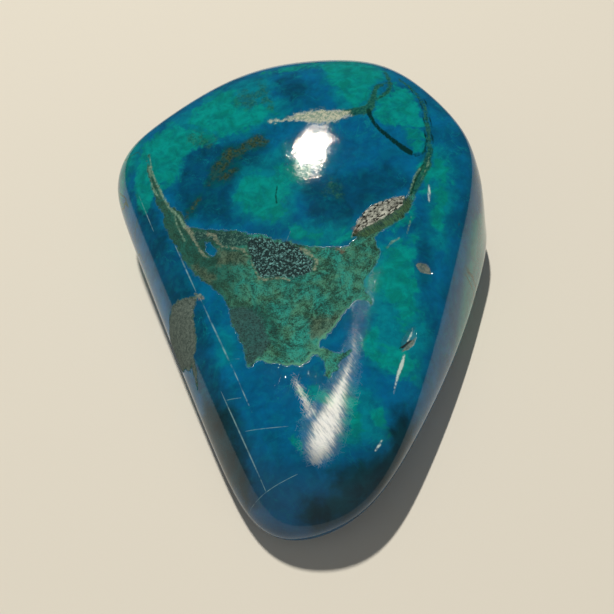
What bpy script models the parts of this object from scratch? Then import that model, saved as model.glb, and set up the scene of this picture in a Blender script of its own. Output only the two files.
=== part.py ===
"""A lapped and polished freeform of chrysocolla with malachite, in one solid piece.

Units are metres, with Z up. The long way of the stone runs along Y and its narrow nose
points to -Y. The origin is under the middle of the stone, on the surface it lies on.

The stone is a rounded body between soft lapped faces. Each face is given by the way it
looks and by its distance from a point inside the stone, called the heart. Neighbouring
faces blend into each other, as they do on a stone that is turned by hand on a lap.
"""

import math

import bmesh
import bpy
import numpy as np

MM = 0.001

# Body of the stone, lengths in millimetres
HEART = (2.2, 0.0, 8.0)
EDGE_CRISPNESS = 12.0
BASE_HEIGHT = 0.0

# Lapped faces: name, heading in degrees from +X, upward tilt in degrees, distance in millimetres
LAPPED_FACES = (
    ("left side", 210.0, 11.0, 27.8),
    ("left bevel", 214.0, 45.0, 21.0),
    ("right side", -12.0, 8.0, 30.8),
    ("right bevel", -21.0, 37.0, 26.0),
    ("rear left", 133.0, 15.0, 42.0),
    ("rear right", 36.0, 10.0, 38.5),
    ("rear", 92.0, 12.0, 50.0),
    ("rear shoulder", 92.0, 57.0, 35.8),
    ("nose", -89.0, 5.0, 52.5),
    ("nose left", 222.0, 8.0, 42.5),
    ("nose right", -43.0, 10.0, 47.0),
    ("nose brow", -89.0, 45.0, 36.5),
    ("top", -103.0, 81.5, 9.5),
    ("under", 90.0, -90.0, 8.3),
    ("under the front", -90.0, -86.0, 9.5),
    ("under the back", 90.0, -78.0, 13.8),
    ("under the left", 200.0, -74.0, 12.0),
    ("under the right", -15.0, -74.0, 13.0),
    ("under the nose", -88.0, -54.0, 34.5),
    ("under the left side", 200.0, -43.0, 21.5),
    ("under the right side", -30.0, -43.0, 26.0),
    ("under the rear", 90.0, -45.0, 36.0),
)

# Slow swells of the top: name, centre X and Y, half width, half length, height in millimetres
SWELLS = (
    ("dome at the rear", 3.5, 29.0, 44.0, 26.0, 6.0),
    ("keel behind the nose", 12.5, -20.0, 7.0, 14.0, 0.5),
    ("keel on the nose", 7.8, -44.0, 9.0, 9.0, 2.2),
    ("soft dish in the middle", 2.0, -11.0, 14.0, 11.0, -0.8),
)
SWELL_FADE = 0.2

# Hollows in the top: name, centre X and Y, turn in degrees, half length, half width, depth in
# millimetres, and 2 for a round rim or 1 for a rim that runs to a point at both ends
HOLLOWS = (
    ("eye shaped pit", 15.6, 3.2, 38.0, 5.8, 2.1, 0.9, 1),
    ("crystal pocket", -1.0, -4.2, -3.0, 5.6, 3.6, 0.3, 2),
    ("chip on the right bevel", 23.0, -6.3, -35.0, 1.6, 0.8, 0.3, 1),
    ("long chip near the nose", 20.5, -19.3, 66.0, 2.5, 0.9, 0.4, 1),
)

# Mesh: how the facets are spread, and how fine they are in and around the hollows
BALL_SUBDIVISIONS = 5
BALL_SPREAD = (0.75, 1.0, 0.36)
HOLLOW_ROUNDS = 3
HOLLOW_EDGE = 0.65
HOLLOW_MARGIN = 1.35

# Look of the stone
STONE_COLOUR = (0.01, 0.17, 0.26, 1.0)
STONE_ROUGHNESS = 0.15


def clear_scene():
    for thing in list(bpy.data.objects):
        bpy.data.objects.remove(thing, do_unlink=True)


def smooth_step(value):
    """0 below 0, 1 above 1, and a soft rise between."""
    value = np.clip(value, 0.0, 1.0)
    return value * value * (3.0 - 2.0 * value)


def heading(azimuth, elevation):
    """The direction that a face looks in."""
    turn = math.radians(azimuth)
    rise = math.radians(elevation)
    return np.array(
        (math.cos(rise) * math.cos(turn), math.cos(rise) * math.sin(turn), math.sin(rise))
    )


def body_radius(ways):
    """Distance from the heart to the skin, for each direction."""
    total = np.zeros(len(ways))
    for _name, azimuth, elevation, distance in LAPPED_FACES:
        share = np.maximum(ways @ heading(azimuth, elevation), 0.0) / distance
        total += share**EDGE_CRISPNESS
    return total ** (-1.0 / EDGE_CRISPNESS)


def hollow_places(points, hollow, margin=1.0):
    """How far out each point is in a hollow: 0 at its middle, 1 at its rim."""
    _name, x, y, turn, half_length, half_width, _depth, rim = hollow
    turn = math.radians(turn)
    east = points[:, 0] - x
    north = points[:, 1] - y
    along = (east * math.cos(turn) + north * math.sin(turn)) / (half_length * margin)
    across = (north * math.cos(turn) - east * math.sin(turn)) / (half_width * margin)
    if rim == 2:
        return np.hypot(along, across)
    width = np.maximum(1.0 - along**2, 1e-6)
    return np.where(np.abs(along) < 1.0, np.abs(across) / width, 9.0)


def skin(ways):
    """Points of the stone's skin in millimetres, for each direction from the heart."""
    points = np.array(HEART) + body_radius(ways)[:, None] * ways
    upward = smooth_step(ways[:, 2] / SWELL_FADE)
    lift = np.zeros(len(points))
    for _name, x, y, half_width, half_length, height in SWELLS:
        spread = ((points[:, 0] - x) / half_width) ** 2 + ((points[:, 1] - y) / half_length) ** 2
        lift += height * np.exp(-spread)
    for hollow in HOLLOWS:
        place = hollow_places(points, hollow)
        depth = hollow[6]
        lift -= depth * np.sqrt(np.maximum(1.0 - place**2, 0.0))
    points[:, 2] += lift * upward
    return points


def ways_of(shape):
    """The direction of every point of a ball from its middle."""
    ways = np.array([point.co[:] for point in shape.verts])
    return ways / np.linalg.norm(ways, axis=1)[:, None]


def refine_hollows(shape):
    """Makes the facets finer where a hollow needs them."""
    for _round in range(HOLLOW_ROUNDS):
        ways = ways_of(shape)
        points = skin(ways)
        inside = np.zeros(len(points), bool)
        for hollow in HOLLOWS:
            inside |= hollow_places(points, hollow, HOLLOW_MARGIN) < 1.0
        inside &= ways[:, 2] > 0.0
        shape.verts.index_update()
        long_edges = []
        for edge in shape.edges:
            first = edge.verts[0].index
            second = edge.verts[1].index
            length = np.linalg.norm(points[first] - points[second])
            if (inside[first] or inside[second]) and length > HOLLOW_EDGE:
                long_edges.append(edge)
        bmesh.ops.subdivide_edges(shape, edges=long_edges, cuts=1)
        bmesh.ops.triangulate(shape, faces=shape.faces[:])


def make_stone(collection):
    bpy.ops.mesh.primitive_ico_sphere_add(subdivisions=BALL_SUBDIVISIONS, radius=1.0)
    stone = bpy.context.object
    stone.name = "polished_freeform"
    stone.data.name = "polished_freeform"
    shape = bmesh.new()
    shape.from_mesh(stone.data)
    bmesh.ops.scale(shape, vec=BALL_SPREAD, verts=shape.verts[:])
    refine_hollows(shape)

    # Every point moves out to the skin
    points = skin(ways_of(shape))
    for point, place in zip(shape.verts, points):
        point.co = place * MM

    # The underside is lapped flat, so that the stone lies still
    geometry = shape.verts[:] + shape.edges[:] + shape.faces[:]
    bmesh.ops.bisect_plane(
        shape,
        geom=geometry,
        plane_co=(0.0, 0.0, BASE_HEIGHT * MM),
        plane_no=(0.0, 0.0, 1.0),
        clear_inner=True,
    )
    rim = [edge for edge in shape.edges if edge.is_boundary]
    bmesh.ops.contextual_create(shape, geom=rim)
    bmesh.ops.recalc_face_normals(shape, faces=shape.faces[:])
    shape.to_mesh(stone.data)
    shape.free()
    stone.data.shade_smooth()
    stone.data.set_sharp_from_angle(angle=math.radians(40.0))
    for owner in list(stone.users_collection):
        owner.objects.unlink(stone)
    collection.objects.link(stone)
    return stone


def stone_material():
    material = bpy.data.materials.new("polished chrysocolla")
    material.use_nodes = True
    shader = material.node_tree.nodes["Principled BSDF"]
    shader.inputs["Base Color"].default_value = STONE_COLOUR
    shader.inputs["Roughness"].default_value = STONE_ROUGHNESS
    shader.inputs["Metallic"].default_value = 0.0
    material.diffuse_color = STONE_COLOUR
    return material


def main():
    clear_scene()
    collection = bpy.data.collections.new("Chrysocolla with malachite")
    bpy.context.scene.collection.children.link(collection)
    stone = make_stone(collection)
    stone.data.materials.append(stone_material())


main()
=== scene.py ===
import math

import bpy
import numpy as np
from mathutils import Matrix, Vector


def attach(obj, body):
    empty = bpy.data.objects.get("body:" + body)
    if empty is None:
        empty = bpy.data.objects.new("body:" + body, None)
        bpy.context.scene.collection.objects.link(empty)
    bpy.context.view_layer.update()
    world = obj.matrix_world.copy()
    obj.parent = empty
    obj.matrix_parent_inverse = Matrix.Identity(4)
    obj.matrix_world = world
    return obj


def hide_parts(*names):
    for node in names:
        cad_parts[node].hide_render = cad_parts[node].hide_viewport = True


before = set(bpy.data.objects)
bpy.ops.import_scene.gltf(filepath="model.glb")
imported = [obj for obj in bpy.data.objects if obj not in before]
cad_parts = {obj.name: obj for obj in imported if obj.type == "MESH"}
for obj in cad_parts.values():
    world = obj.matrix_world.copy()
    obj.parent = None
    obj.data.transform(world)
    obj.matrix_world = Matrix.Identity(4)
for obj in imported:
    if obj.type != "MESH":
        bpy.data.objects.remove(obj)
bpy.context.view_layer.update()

MM = 0.001

# Body of the stone, as in the part's source, in millimetres
HEART = (2.2, 0.0, 8.0)
EDGE_CRISPNESS = 12.0

# Lapped faces: name, heading in degrees from +X, upward tilt in degrees, distance in millimetres
LAPPED_FACES = (
    ("left side", 210.0, 11.0, 27.8),
    ("left bevel", 214.0, 45.0, 21.0),
    ("right side", -12.0, 8.0, 30.8),
    ("right bevel", -21.0, 37.0, 26.0),
    ("rear left", 133.0, 15.0, 42.0),
    ("rear right", 36.0, 10.0, 38.5),
    ("rear", 92.0, 12.0, 50.0),
    ("rear shoulder", 92.0, 57.0, 35.8),
    ("nose", -89.0, 5.0, 52.5),
    ("nose left", 222.0, 8.0, 42.5),
    ("nose right", -43.0, 10.0, 47.0),
    ("nose brow", -89.0, 45.0, 36.5),
    ("top", -103.0, 81.5, 9.5),
    ("under", 90.0, -90.0, 8.3),
    ("under the front", -90.0, -86.0, 9.5),
    ("under the back", 90.0, -78.0, 13.8),
    ("under the left", 200.0, -74.0, 12.0),
    ("under the right", -15.0, -74.0, 13.0),
    ("under the nose", -88.0, -54.0, 34.5),
    ("under the left side", 200.0, -43.0, 21.5),
    ("under the right side", -30.0, -43.0, 26.0),
    ("under the rear", 90.0, -45.0, 36.0),
)

# Slow swells of the top: name, centre X and Y, half width, half length, height in millimetres
SWELLS = (
    ("dome at the rear", 3.5, 29.0, 44.0, 26.0, 6.0),
    ("keel behind the nose", 12.5, -20.0, 7.0, 14.0, 0.5),
    ("keel on the nose", 7.8, -44.0, 9.0, 9.0, 2.2),
    ("soft dish in the middle", 2.0, -11.0, 14.0, 11.0, -0.8),
)
SWELL_FADE = 0.2

# Hollows in the top: name, centre X and Y, turn in degrees, half length, half width, depth in
# millimetres, and 2 for a round rim or 1 for a rim that runs to a point at both ends
HOLLOWS = (
    ("eye shaped pit", 15.6, 3.2, 38.0, 5.8, 2.1, 0.9, 1),
    ("crystal pocket", -1.0, -4.2, -3.0, 5.6, 3.6, 0.3, 2),
    ("chip on the right bevel", 23.0, -6.3, -35.0, 1.6, 0.8, 0.3, 1),
    ("long chip near the nose", 20.5, -19.3, 66.0, 2.5, 0.9, 0.4, 1),
)

# How fine the skin is
BALL_SUBDIVISIONS = 7
BALL_SPREAD = (0.75, 1.0, 0.36)

# Outlines on the map of the top, in millimetres: X to the right, Y to the rear.
# Down the sides the map runs outwards, by the distance below the top.
MALACHITE_PATCH = (
    (-18.6, 2.1), (-16.5, 1.8), (-14.0, 1.4), (-11.0, 1.1), (-8.5, 0.8), (-6.5, 0.3), (-4.5, 0.1),
    (-2.5, -0.6), (-0.5, -0.9), (1.5, -1.4), (3.0, -2.0), (5.0, -2.3), (7.5, -2.3), (9.5, -2.6),
    (10.8, -1.9), (11.6, -0.9), (12.6, 0.9), (15.0, 2.0), (17.0, 3.2), (19.0, 5.0), (20.6, 6.9),
    (21.6, 7.2), (21.0, 5.0), (19.7, 3.2), (17.6, 1.5), (15.7, 0.4), (14.7, -0.7), (15.2, -2.2),
    (15.8, -3.2), (15.6, -4.8), (14.9, -6.2), (14.1, -7.3), (13.4, -8.3), (13.2, -9.6),
    (13.9, -11.0), (14.7, -12.0), (14.6, -13.2), (13.4, -12.3), (12.2, -12.3), (11.2, -13.3),
    (10.2, -14.8), (9.5, -16.0), (8.8, -17.4), (7.8, -18.5), (6.8, -19.5), (6.5, -20.4),
    (7.2, -21.0), (8.1, -21.4), (8.8, -21.9), (9.8, -22.0), (11.0, -21.8), (11.8, -21.5),
    (11.0, -22.4), (10.2, -23.2), (9.8, -24.2), (9.6, -25.0), (8.9, -25.4), (8.4, -26.4),
    (7.9, -25.6), (7.8, -24.4), (7.3, -23.0), (6.6, -22.2), (5.6, -21.8), (5.3, -22.7),
    (4.8, -23.4), (4.0, -23.9), (2.6, -23.8), (1.0, -23.9), (-0.2, -23.4), (-1.4, -23.5),
    (-2.5, -22.9), (-3.3, -22.9), (-3.7, -24.0), (-4.5, -24.2), (-4.9, -23.2), (-5.2, -22.0),
    (-5.6, -20.8), (-6.2, -19.6), (-7.0, -18.0), (-7.9, -16.8), (-8.5, -15.4), (-9.0, -13.6),
    (-9.6, -12.2), (-10.4, -11.0), (-11.5, -10.2), (-12.4, -9.4), (-13.6, -8.6), (-14.8, -7.8),
    (-16.0, -6.4), (-17.3, -5.0), (-18.4, -3.4), (-19.6, -1.4), (-20.9, 0.2), (-22.0, 2.0),
    (-22.9, 3.9), (-22.6, 5.6), (-21.0, 5.2), (-19.8, 4.0), (-18.9, 2.8),
)
SIDE_PATCH = (
    (-20.3, -12.0), (-18.5, -11.2), (-16.5, -11.0), (-14.6, -11.0), (-14.9, -13.5), (-14.8, -15.0),
    (-14.3, -16.8), (-14.0, -19.0), (-14.3, -20.8), (-15.2, -22.2), (-16.0, -24.0), (-16.4, -25.0),
    (-18.5, -24.3), (-20.5, -25.0), (-24.5, -21.0), (-24.5, -18.0), (-22.5, -14.0),
)
SIDE_TAIL = ((-15.2, -22.6, 0.5), (-15.0, -24.4, 0.7), (-14.8, -26.0, 0.5), (-14.5, -28.0, 0.15))
BLUE_WINDOW = (
    (-14.8, -0.5), (-13.3, -1.3), (-12.1, -2.8), (-12.6, -3.8), (-13.6, -3.6), (-14.3, -2.4),
)
CRYSTAL_POCKET = (
    (-6.8, -0.3), (-4.5, -0.2), (-2.5, -0.8), (0.0, -1.1), (2.2, -1.9), (3.2, -3.4), (4.6, -4.5),
    (4.8, -5.4), (4.3, -6.5), (3.3, -7.3), (1.6, -7.6), (-0.5, -7.3), (-2.5, -7.5), (-4.1, -7.6),
    (-5.0, -6.4), (-5.8, -4.8), (-6.4, -3.2), (-7.0, -1.8),
)
DARK_SEAM = (
    (-16.8, 1.2), (-14.5, 1.0), (-11.0, 0.8), (-8.5, 0.6), (-6.5, -0.2), (-7.0, -1.7), (-9.0, -1.9),
    (-11.0, -1.7), (-12.8, -0.9), (-14.2, -0.2), (-15.6, -0.8), (-16.5, -0.8),
)
GREY_GRAVEL = (
    (-9.0, -13.2), (-6.5, -13.4), (-3.6, -13.8), (-2.8, -15.6), (-2.4, -17.5), (-1.3, -19.5),
    (-1.6, -21.0), (-3.0, -22.6), (-3.7, -24.1), (-4.6, -24.2), (-5.2, -22.0), (-6.3, -19.6),
    (-7.8, -17.0), (-8.6, -15.3),
)
BROWN_GRAVEL = (
    (5.0, -15.3), (7.5, -15.0), (9.7, -14.6), (8.8, -17.2), (7.2, -18.9), (5.2, -19.2),
    (4.6, -17.0),
)
OLIVE_BROWN = (
    (-11.9, -2.4), (-9.8, -2.8), (-7.6, -3.1), (-6.2, -4.4), (-6.8, -5.3), (-9.5, -5.1),
    (-11.9, -5.5),
)
BROWN_STREAK = ((-15.6, -5.8, 0.6), (-12.6, -8.0, 0.7))
PIT_FLOOR = (
    (11.1, 0.2), (12.0, 2.5), (13.0, 4.1), (14.6, 5.4), (16.5, 6.2), (18.3, 6.9), (19.9, 7.0),
    (19.3, 5.9), (18.0, 4.8), (16.6, 3.8), (15.0, 2.9), (13.0, 1.8), (11.8, 0.9),
)
PIT_WALL = (
    (11.4, 0.4), (13.5, 1.7), (16.0, 3.2), (18.5, 5.0), (20.4, 7.2), (20.9, 5.2), (19.6, 3.2),
    (17.6, 1.6), (15.4, 0.4), (13.4, -0.6), (12.2, -0.2),
)
LOWER_RIM = (
    (-3.0, -23.2, 0.9), (0.5, -24.0, 1.0), (4.3, -23.7, 1.0), (5.4, -22.0, 1.0), (7.0, -21.4, 0.9),
    (6.6, -19.8, 1.0), (8.6, -17.6, 1.0), (10.2, -14.9, 1.0), (12.6, -12.5, 0.7),
)
DARK_GREEN_GRAVEL = ((-4.0, -13.2, 1.0), (-2.4, -14.6, 0.8), (-1.4, -16.6, 1.0), (-0.8, -18.6, 0.9))

# Ribbons on the same map: points with half widths
RIGHT_ARM = (
    (20.8, 6.4, 0.4), (21.6, 8.8, 0.7), (22.6, 11.2, 0.95), (23.7, 13.4, 0.7), (24.2, 15.4, 0.5),
    (24.1, 18.0, 0.36), (23.8, 22.0, 0.32), (23.4, 26.0, 0.32), (22.2, 28.8, 0.3),
    (20.5, 31.3, 0.26), (18.5, 33.6, 0.2),
)
ARM_DARK_LINES = (
    ((20.2, 5.6, 0.12), (21.0, 7.6, 0.2), (21.5, 9.8, 0.24), (22.3, 11.6, 0.2), (23.2, 13.4, 0.14)),
    ((23.4, 14.4, 0.1), (23.6, 16.5, 0.15), (23.5, 19.0, 0.15), (23.2, 23.0, 0.14),
     (22.9, 26.0, 0.14), (21.9, 28.6, 0.14), (20.4, 31.2, 0.12), (19.4, 32.3, 0.08)),
    ((24.6, 15.2, 0.08), (24.8, 17.0, 0.13), (24.6, 20.0, 0.12), (24.3, 24.0, 0.12),
     (23.6, 27.4, 0.1), (22.4, 29.6, 0.08)),
    ((-2.5, 9.3, 0.05), (-2.7, 7.6, 0.12), (-2.4, 6.0, 0.08)),
)
LEFT_VEIN = (
    (-18.9, 2.4, 0.6), (-20.5, 4.4, 1.0), (-22.4, 5.8, 0.9), (-23.8, 7.6, 0.75),
    (-25.3, 10.6, 0.65), (-26.7, 13.4, 0.45), (-27.6, 16.2, 0.3), (-27.9, 18.6, 0.12),
)
PALE_EDGES = (
    ((-18.6, 2.2, 0.25), (-19.9, 4.3, 0.22), (-22.0, 6.2, 0.22), (-23.6, 8.7, 0.2),
     (-25.3, 11.6, 0.16), (-26.8, 14.7, 0.14), (-27.7, 18.5, 0.1)),
    ((-24.2, 8.4, 0.1), (-25.6, 10.2, 0.14), (-27.0, 13.4, 0.12), (-27.6, 15.6, 0.08)),
    ((-21.4, 5.6, 0.08), (-20.4, 3.4, 0.12), (-19.4, 1.4, 0.12), (-18.2, -0.6, 0.1)),
    ((11.0, -0.6, 0.12), (11.4, 0.5, 0.16), (13.2, 1.7, 0.16), (15.4, 2.8, 0.14),
     (17.3, 4.0, 0.12)),
    ((20.3, 7.0, 0.12), (21.0, 8.8, 0.14), (21.6, 11.0, 0.15), (22.6, 12.6, 0.12)),
    ((22.7, 10.2, 0.08), (23.5, 12.2, 0.12), (24.0, 13.9, 0.12), (24.2, 15.6, 0.06)),
    ((20.2, -0.4, 0.05), (20.6, 1.4, 0.1), (21.0, 3.2, 0.05)),
    ((17.0, -2.6, 0.1), (17.8, -1.5, 0.16), (18.6, -1.1, 0.1), (19.2, -0.7, 0.05)),
)
TAN_LINES = (
    ((-18.4, 2.0, 0.5), (-17.4, 1.1, 0.5), (-16.6, -0.5, 0.28), (-15.6, -1.8, 0.28),
     (-14.6, -3.4, 0.32), (-13.4, -3.9, 0.2)),
    ((-14.2, 0.6, 0.35), (-12.9, 0.2, 0.42), (-12.4, -1.1, 0.32), (-11.3, -1.9, 0.26),
     (-9.5, -2.2, 0.28), (-7.6, -2.5, 0.28), (-6.8, -3.4, 0.26)),
    ((-6.0, -4.6, 0.18), (-5.2, -6.4, 0.2), (-4.3, -7.9, 0.34), (-2.5, -7.9, 0.28),
     (-0.8, -7.6, 0.28), (0.8, -8.1, 0.2)),
    ((2.2, -2.2, 0.28), (3.2, -2.9, 0.5), (4.5, -3.8, 0.28), (5.3, -4.7, 0.4), (4.9, -6.2, 0.32)),
    ((5.4, -2.6, 0.12), (7.5, -2.6, 0.14), (9.4, -2.8, 0.2), (10.6, -2.3, 0.2)),
    ((-15.0, -10.6, 0.2), (-14.2, -11.2, 0.5), (-13.4, -11.6, 0.25)),
)
RUST_SPOTS = (
    (9.4, -3.2, 0.45), (8.6, -2.7, 0.3), (11.4, 0.9, 0.35), (12.0, 1.5, 0.3), (-14.0, -11.5, 0.3),
)
UPPER_VEIN_PALE = (
    (-5.0, 22.5, 0.05), (-2.0, 22.8, 0.25), (0.0, 23.2, 0.75), (2.0, 23.3, 1.05), (4.5, 23.2, 1.55),
    (6.5, 23.2, 1.35), (8.3, 23.5, 0.95), (9.6, 23.7, 0.5),
)
UPPER_VEIN_DARK = (
    ((8.6, 23.9, 0.5), (10.5, 24.1, 0.85), (12.3, 24.5, 0.95), (13.4, 25.0, 0.8),
     (13.7, 26.5, 0.75), (14.1, 28.0, 0.5), (14.1, 29.4, 0.38), (14.8, 30.7, 0.5),
     (15.8, 31.4, 0.35)),
    ((13.9, 26.4, 0.4), (15.5, 27.9, 0.28), (16.6, 29.3, 0.38), (17.1, 31.0, 0.36),
     (16.9, 33.0, 0.36), (16.2, 35.0, 0.3), (15.5, 36.2, 0.15)),
)
DARK_VEINS = (
    ((13.2, 24.4, 0.5), (13.5, 23.2, 0.36), (14.3, 21.6, 0.33), (15.3, 20.2, 0.35),
     (16.8, 18.8, 0.38), (18.4, 17.4, 0.42), (19.6, 16.4, 0.5), (20.8, 15.6, 0.5),
     (21.5, 15.1, 0.2)),
    ((21.6, 14.9, 0.14), (22.8, 15.4, 0.16), (23.5, 16.6, 0.17), (23.7, 18.2, 0.15)),
)
STAINS = (
    ((-15.1, 10.4, 0.35), (-14.3, 12.4, 0.8), (-12.8, 14.3, 1.3), (-12.0, 16.2, 1.2),
     (-10.2, 16.4, 0.9), (-8.8, 17.6, 1.1), (-7.0, 18.6, 1.0), (-5.4, 17.9, 0.5)),
    ((-14.4, 11.0, 0.5), (-12.2, 11.8, 0.8), (-10.5, 12.8, 0.4)),
    ((-18.4, 4.0, 0.2), (-17.5, 5.8, 0.35), (-16.7, 7.6, 0.25)),
)
FAINT_STAINS = (
    ((-10.9, 31.0, 1.0), (-10.2, 28.6, 1.9), (-9.0, 27.4, 1.2)),
    ((-7.9, 33.8, 0.4), (-7.1, 30.5, 0.8), (-5.9, 27.4, 0.7), (-4.8, 25.8, 0.4)),
    ((7.4, 8.4, 1.4), (8.2, 7.6, 0.8)),
    ((-19.6, 20.6, 1.2), (-16.4, 19.2, 1.3)),
)
SIDE_SPECKS = (
    (34.3, 6.1, 0.3), (35.0, 6.4, 0.2), (29.6, -7.0, 0.35), (30.8, -21.9, 0.35),
    (29.8, -23.2, 0.22), (29.4, 3.0, 0.3),
)
# Painted glints: thin bright lines along the chips and bevel edges
GLINT_LINES = (
    ((21.2, -17.2, 0.05), (20.9, -18.3, 0.13), (20.4, -19.3, 0.1)),
    ((19.9, -21.9, 0.08), (19.5, -23.6, 0.26), (19.0, -25.2, 0.2), (18.6, -26.8, 0.08),
     (18.3, -28.4, 0.04)),
    ((24.05, 9.4, 0.06), (24.05, 7.8, 0.22), (24.0, 6.0, 0.08)),
    ((16.7, -35.8, 0.05), (16.3, -36.6, 0.15), (15.7, -37.5, 0.08)),
)
CHIP_FACET = ((19.5, -21.2, 0.05), (20.3, -20.6, 0.36), (21.0, -19.7, 0.42), (21.6, -18.8, 0.1))
RUBBED_POLISH = (
    ((13.9, -6.6, 0.7), (13.7, -9.0, 1.1), (13.3, -11.5, 0.8), (13.1, -13.5, 0.8),
     (12.8, -15.0, 0.4)),
    ((12.2, -18.5, 0.4), (11.7, -22.5, 1.3), (10.8, -27.0, 2.0), (9.2, -31.0, 3.0),
     (8.2, -34.0, 3.5), (7.8, -36.5, 3.2), (7.6, -38.5, 2.0)),
    ((3.0, -26.0, 0.1), (4.6, -29.2, 0.4), (6.0, -32.0, 0.6)),
)
# Streak behind the nose that sets how rough the rubbed polish is, and where its highlight is
# painted cream
RUB_AND_PAINTED_HIGHLIGHT = (
    ((12.3, -18.0, -0.3), (11.9, -22.0, 0.1), (10.8, -26.5, 0.7), (9.5, -31.0, 1.6),
     (8.4, -34.5, 2.2), (7.7, -37.5, 1.8), (7.3, -39.5, 0.8)),
    ((3.0, -26.0, 0.2), (4.6, -29.2, 0.6), (6.0, -32.0, 0.7)),
)
HIGH_POLISH_HAZE = ((4.2, 20.5, 1.2), (3.4, 17.0, 1.8), (2.8, 12.5, 1.2))
DARK_CRACK = ((19.1, -20.9, 0.08), (19.8, -20.3, 0.18), (20.4, -19.6, 0.2), (21.1, -19.0, 0.1))

# Areas of green and of dark stone, and painted dark reflections near the nose: outlines on the same
# map
GREEN_AREAS = (
    ((-20.6, 24.0), (-20.0, 28.0), (-16.5, 31.5), (-12.5, 31.5), (-12.2, 28.0), (-9.0, 26.2),
     (-5.0, 26.8), (-4.2, 25.0), (-6.0, 23.5), (-9.0, 22.2), (-10.0, 20.5), (-13.0, 20.0),
     (-16.0, 21.0), (-18.5, 23.0)),
    ((-30.0, 17.5), (-30.0, 13.0), (-29.5, 8.0), (-26.8, 6.6), (-25.0, 9.6), (-22.3, 10.8),
     (-20.2, 14.0), (-20.6, 17.0), (-15.0, 19.0), (-15.0, 21.6), (-20.0, 22.6), (-25.0, 24.5),
     (-29.0, 21.5)),
    ((-9.6, 9.8), (-8.9, 5.6), (-7.0, 4.2), (-4.6, 3.4), (-2.4, 2.3), (-0.8, 4.0), (-0.4, 8.0),
     (1.5, 10.4), (3.4, 12.6), (1.0, 14.0), (-1.8, 13.4), (-3.0, 11.0), (-5.0, 11.2), (-8.0, 11.9)),
    ((5.0, 39.5), (5.6, 34.0), (8.6, 26.0), (12.0, 25.6), (13.2, 28.5), (13.4, 31.2), (15.8, 32.4),
     (15.4, 36.4), (10.0, 39.6)),
    ((-7.5, 36.6), (-4.0, 35.6), (1.0, 37.0), (5.0, 37.2), (4.6, 39.6), (-3.0, 38.8)),
    ((14.2, 24.5), (14.8, 26.4), (16.5, 28.6), (17.8, 31.0), (17.6, 33.0), (20.0, 30.5),
     (22.0, 27.0), (22.9, 23.0), (23.2, 19.0), (23.0, 16.8), (21.8, 15.6), (20.8, 17.0),
     (21.0, 19.4), (20.4, 21.0), (18.0, 21.3), (16.0, 21.0), (14.7, 22.2)),
    ((16.8, -3.4), (19.5, -2.0), (21.4, -1.0), (21.0, -5.0), (21.3, -9.0), (22.6, -12.5),
     (22.0, -15.0), (20.8, -16.5), (19.8, -18.0), (18.8, -16.0), (18.4, -14.0), (17.5, -12.3),
     (15.8, -11.6), (14.2, -10.9), (13.2, -9.5), (13.4, -8.3), (14.8, -6.8), (16.0, -5.2)),
    ((25.0, 17.0), (26.9, 14.0), (27.3, 10.0), (26.7, 5.0), (26.2, 0.0), (24.9, 1.5), (25.1, 6.0),
     (24.6, 12.0)),
    ((15.6, -17.0), (14.6, -19.3), (13.4, -20.3), (15.0, -23.0), (17.5, -24.0), (19.0, -25.4),
     (21.0, -25.6), (21.6, -22.5), (20.0, -21.0), (17.0, -21.4), (15.9, -20.0), (16.3, -18.2)),
    ((3.6, -27.6), (6.3, -26.8), (7.6, -28.0), (9.2, -28.8), (8.6, -30.4), (5.6, -29.8)),
    ((11.4, -29.6), (12.6, -29.8), (14.2, -32.6), (13.4, -36.2), (11.4, -36.6), (12.0, -33.0)),
    ((14.6, -31.4), (16.9, -31.8), (17.2, -34.6), (15.6, -33.6)),
    ((2.9, -37.2), (3.6, -36.0), (4.9, -36.6), (4.6, -37.6)),
    ((17.3, 0.6), (19.5, 1.0), (20.9, 3.4), (21.2, 5.0), (19.2, 2.9)),
    ((0.9, 1.4), (2.3, 1.5), (4.6, 0.1), (6.2, -1.6), (3.5, -1.2), (1.2, -0.2)),
    ((8.6, -0.2), (10.6, 0.8), (11.0, -0.8), (9.4, -1.8), (7.6, -1.6)),
    ((22.4, 14.2), (25.0, 14.6), (25.0, 10.0), (23.2, 8.2), (22.8, 10.6)),
)
DEEP_AREAS = (
    ((-4.6, 33.5), (-1.0, 34.6), (1.6, 33.0), (2.0, 30.0), (0.5, 27.5), (-3.0, 27.4), (-4.6, 29.5)),
    ((-20.5, 16.5), (-16.0, 19.2), (-10.5, 18.5), (-5.0, 18.0), (-5.5, 13.5), (-9.0, 12.0),
     (-10.2, 9.0), (-10.0, 2.6), (-15.0, 2.2), (-19.0, 5.4), (-22.4, 9.5), (-21.0, 13.0)),
    ((-30.5, 9.0), (-26.5, 9.5), (-23.0, 3.6), (-20.5, -1.2), (-17.0, -7.0), (-14.0, -12.0),
     (-8.4, -27.0), (-3.0, -36.0), (-3.2, -47.0), (-13.0, -31.0), (-22.0, -12.0), (-27.0, -1.0)),
    ((0.6, 10.0), (8.0, 11.0), (17.0, 13.0), (20.6, 9.6), (19.0, 7.6), (13.0, 5.6), (10.4, 1.0),
     (7.0, 0.0), (3.0, 4.0)),
    ((21.4, 2.0), (24.2, 2.0), (24.6, -8.0), (22.6, -9.0), (21.6, -4.0)),
)
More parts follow.
